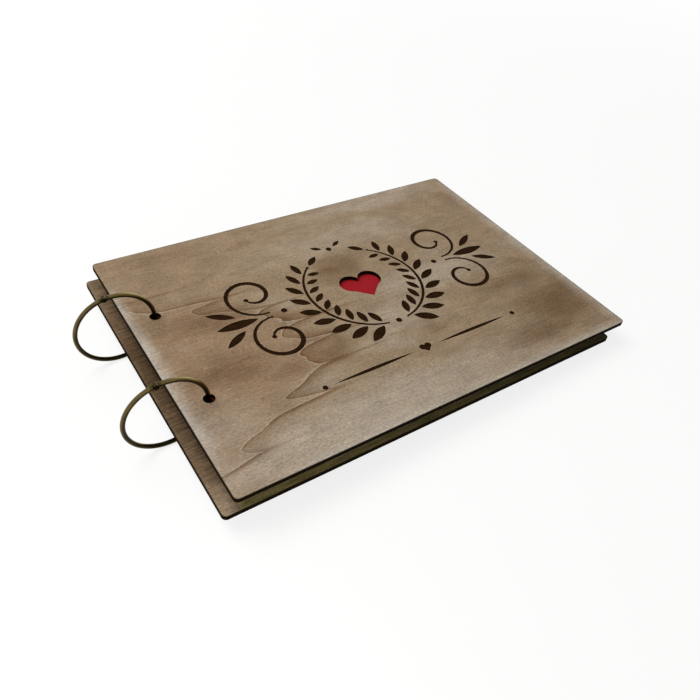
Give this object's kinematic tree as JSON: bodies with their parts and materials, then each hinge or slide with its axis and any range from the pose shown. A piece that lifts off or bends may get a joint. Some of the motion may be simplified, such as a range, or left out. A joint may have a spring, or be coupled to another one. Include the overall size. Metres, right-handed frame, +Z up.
{
  "type": "wedding guest book",
  "caption": "Landscape ring-bound guest book: engraved plywood covers with a heart window, a red flyleaf and card leaves on hinged brass rings.",
  "frame": {"origin": "on the surface that the book lies on, under the middle of its outer box", "axes": "+X from the spine and its rings to the fore edge, +Y from the front long edge to the back one, +Z up"},
  "size_m": [0.3412, 0.2202, 0.0529],
  "materials": {
    "stained_wood": "brown-stained plywood, matt, laser-cut dark edges",
    "dark_stained_wood": "darker brown-stained plywood, matt",
    "red_card": "red card, matt",
    "ivory_card": "ivory card, matt",
    "antique_brass": "antique brass plating, satin, darkened"
  },
  "bodies": {
    "back_cover": {"back_cover": "dark_stained_wood"},
    "leaf_01": {"leaf_01": "ivory_card"},
    "leaf_02": {"leaf_02": "ivory_card"},
    "leaf_03": {"leaf_03": "ivory_card"},
    "leaf_04": {"leaf_04": "ivory_card"},
    "leaf_05": {"leaf_05": "ivory_card"},
    "leaf_06": {"leaf_06": "ivory_card"},
    "leaf_07": {"leaf_07": "ivory_card"},
    "leaf_08": {"leaf_08": "ivory_card"},
    "leaf_09": {"leaf_09": "ivory_card"},
    "leaf_10": {"leaf_10": "ivory_card"},
    "leaf_11": {"leaf_11": "ivory_card"},
    "leaf_12": {"leaf_12": "ivory_card"},
    "leaf_13": {"leaf_13": "ivory_card"},
    "leaf_14": {"leaf_14": "ivory_card"},
    "leaf_15": {"leaf_15": "ivory_card"},
    "leaf_16": {"leaf_16": "ivory_card"},
    "leaf_17": {"leaf_17": "ivory_card"},
    "leaf_18": {"leaf_18": "ivory_card"},
    "leaf_19": {"leaf_19": "ivory_card"},
    "leaf_20": {"leaf_20": "ivory_card"},
    "red_flyleaf": {"red_flyleaf": "red_card"},
    "front_cover": {"front_cover": "stained_wood"},
    "ring_front": {"ring_front_fixed_half": "antique_brass", "ring_front_rivet": "antique_brass"},
    "ring_front_swing": {"ring_front_swing_half": "antique_brass"},
    "ring_back": {"ring_back_fixed_half": "antique_brass", "ring_back_rivet": "antique_brass"},
    "ring_back_swing": {"ring_back_swing_half": "antique_brass"}
  },
  "joints": [
    {"name": "leaf_01_turn", "type": "hinge", "parent": "back_cover", "child": "leaf_01", "pos_m": [-0.14419, 0, 0.02645], "axis": [0, -1, 0], "range_deg": [0, 180]},
    {"name": "leaf_02_turn", "type": "hinge", "parent": "leaf_01", "child": "leaf_02", "pos_m": [-0.14419, 0, 0.02645], "axis": [0, -1, 0], "range_deg": [0, 180]},
    {"name": "leaf_03_turn", "type": "hinge", "parent": "leaf_02", "child": "leaf_03", "pos_m": [-0.14419, 0, 0.02645], "axis": [0, -1, 0], "range_deg": [0, 180]},
    {"name": "leaf_04_turn", "type": "hinge", "parent": "leaf_03", "child": "leaf_04", "pos_m": [-0.14419, 0, 0.02645], "axis": [0, -1, 0], "range_deg": [0, 180]},
    {"name": "leaf_05_turn", "type": "hinge", "parent": "leaf_04", "child": "leaf_05", "pos_m": [-0.14419, 0, 0.02645], "axis": [0, -1, 0], "range_deg": [0, 180]},
    {"name": "leaf_06_turn", "type": "hinge", "parent": "leaf_05", "child": "leaf_06", "pos_m": [-0.14419, 0, 0.02645], "axis": [0, -1, 0], "range_deg": [0, 180]},
    {"name": "leaf_07_turn", "type": "hinge", "parent": "leaf_06", "child": "leaf_07", "pos_m": [-0.14419, 0, 0.02645], "axis": [0, -1, 0], "range_deg": [0, 180]},
    {"name": "leaf_08_turn", "type": "hinge", "parent": "leaf_07", "child": "leaf_08", "pos_m": [-0.14419, 0, 0.02645], "axis": [0, -1, 0], "range_deg": [0, 180]},
    {"name": "leaf_09_turn", "type": "hinge", "parent": "leaf_08", "child": "leaf_09", "pos_m": [-0.14419, 0, 0.02645], "axis": [0, -1, 0], "range_deg": [0, 180]},
    {"name": "leaf_10_turn", "type": "hinge", "parent": "leaf_09", "child": "leaf_10", "pos_m": [-0.14419, 0, 0.02645], "axis": [0, -1, 0], "range_deg": [0, 180]},
    {"name": "leaf_11_turn", "type": "hinge", "parent": "leaf_10", "child": "leaf_11", "pos_m": [-0.14419, 0, 0.02645], "axis": [0, -1, 0], "range_deg": [0, 180]},
    {"name": "leaf_12_turn", "type": "hinge", "parent": "leaf_11", "child": "leaf_12", "pos_m": [-0.14419, 0, 0.02645], "axis": [0, -1, 0], "range_deg": [0, 180]},
    {"name": "leaf_13_turn", "type": "hinge", "parent": "leaf_12", "child": "leaf_13", "pos_m": [-0.14419, 0, 0.02645], "axis": [0, -1, 0], "range_deg": [0, 180]},
    {"name": "leaf_14_turn", "type": "hinge", "parent": "leaf_13", "child": "leaf_14", "pos_m": [-0.14419, 0, 0.02645], "axis": [0, -1, 0], "range_deg": [0, 180]},
    {"name": "leaf_15_turn", "type": "hinge", "parent": "leaf_14", "child": "leaf_15", "pos_m": [-0.14419, 0, 0.02645], "axis": [0, -1, 0], "range_deg": [0, 180]},
    {"name": "leaf_16_turn", "type": "hinge", "parent": "leaf_15", "child": "leaf_16", "pos_m": [-0.14419, 0, 0.02645], "axis": [0, -1, 0], "range_deg": [0, 180]},
    {"name": "leaf_17_turn", "type": "hinge", "parent": "leaf_16", "child": "leaf_17", "pos_m": [-0.14419, 0, 0.02645], "axis": [0, -1, 0], "range_deg": [0, 180]},
    {"name": "leaf_18_turn", "type": "hinge", "parent": "leaf_17", "child": "leaf_18", "pos_m": [-0.14419, 0, 0.02645], "axis": [0, -1, 0], "range_deg": [0, 180]},
    {"name": "leaf_19_turn", "type": "hinge", "parent": "leaf_18", "child": "leaf_19", "pos_m": [-0.14419, 0, 0.02645], "axis": [0, -1, 0], "range_deg": [0, 180]},
    {"name": "leaf_20_turn", "type": "hinge", "parent": "leaf_19", "child": "leaf_20", "pos_m": [-0.14419, 0, 0.02645], "axis": [0, -1, 0], "range_deg": [0, 180]},
    {"name": "red_flyleaf_turn", "type": "hinge", "parent": "leaf_20", "child": "red_flyleaf", "pos_m": [-0.14419, 0, 0.02645], "axis": [0, -1, 0], "range_deg": [0, 180]},
    {"name": "front_cover_turn", "type": "hinge", "parent": "red_flyleaf", "child": "front_cover", "pos_m": [-0.14419, 0, 0.02645], "axis": [0, -1, 0], "range_deg": [0, 186]},
    {"name": "ring_front_swivel", "type": "hinge", "parent": "back_cover", "child": "ring_front", "pos_m": [-0.12195, -0.04, 0.02578], "axis": [0.0302, 0, 0.9995], "range_deg": [-40, 0]},
    {"name": "ring_front_open", "type": "hinge", "parent": "ring_front", "child": "ring_front_swing", "pos_m": [-0.14778, -0.04, 0.05119], "axis": [0, -1, 0], "range_deg": [-70, 0]},
    {"name": "ring_back_swivel", "type": "hinge", "parent": "back_cover", "child": "ring_back", "pos_m": [-0.12195, 0.04, 0.02578], "axis": [0.0302, 0, 0.9995], "range_deg": [-40, 0]},
    {"name": "ring_back_open", "type": "hinge", "parent": "ring_back", "child": "ring_back_swing", "pos_m": [-0.14778, 0.04, 0.05119], "axis": [0, -1, 0], "range_deg": [-70, 0]}
  ]
}
